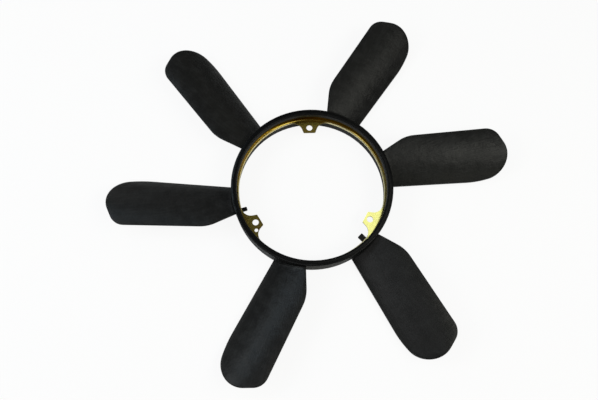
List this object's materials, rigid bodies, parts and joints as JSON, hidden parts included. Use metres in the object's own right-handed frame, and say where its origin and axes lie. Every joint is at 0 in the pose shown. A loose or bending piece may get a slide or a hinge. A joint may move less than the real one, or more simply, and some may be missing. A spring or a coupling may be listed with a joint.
{
  "type": "radiator fan blade",
  "caption": "Open-ring engine cooling fan with pitched, cambered plastic blades at uneven spacing, moulded on a stamped steel ring with drilled tabs",
  "frame": {"origin": "on the fan axis, in the front face of the three tabs", "axes": "+Z along the fan axis towards the front, +Y through the first tab"},
  "size_m": [0.4247, 0.3899, 0.0316],
  "materials": {
    "moulding": "black moulded plastic with a low sheen",
    "plated_steel": "zinc plate with a yellow passivate"
  },
  "bodies": {
    "root": {"fan_moulding": "moulding", "mounting_ring": "plated_steel"}
  },
  "joints": []
}
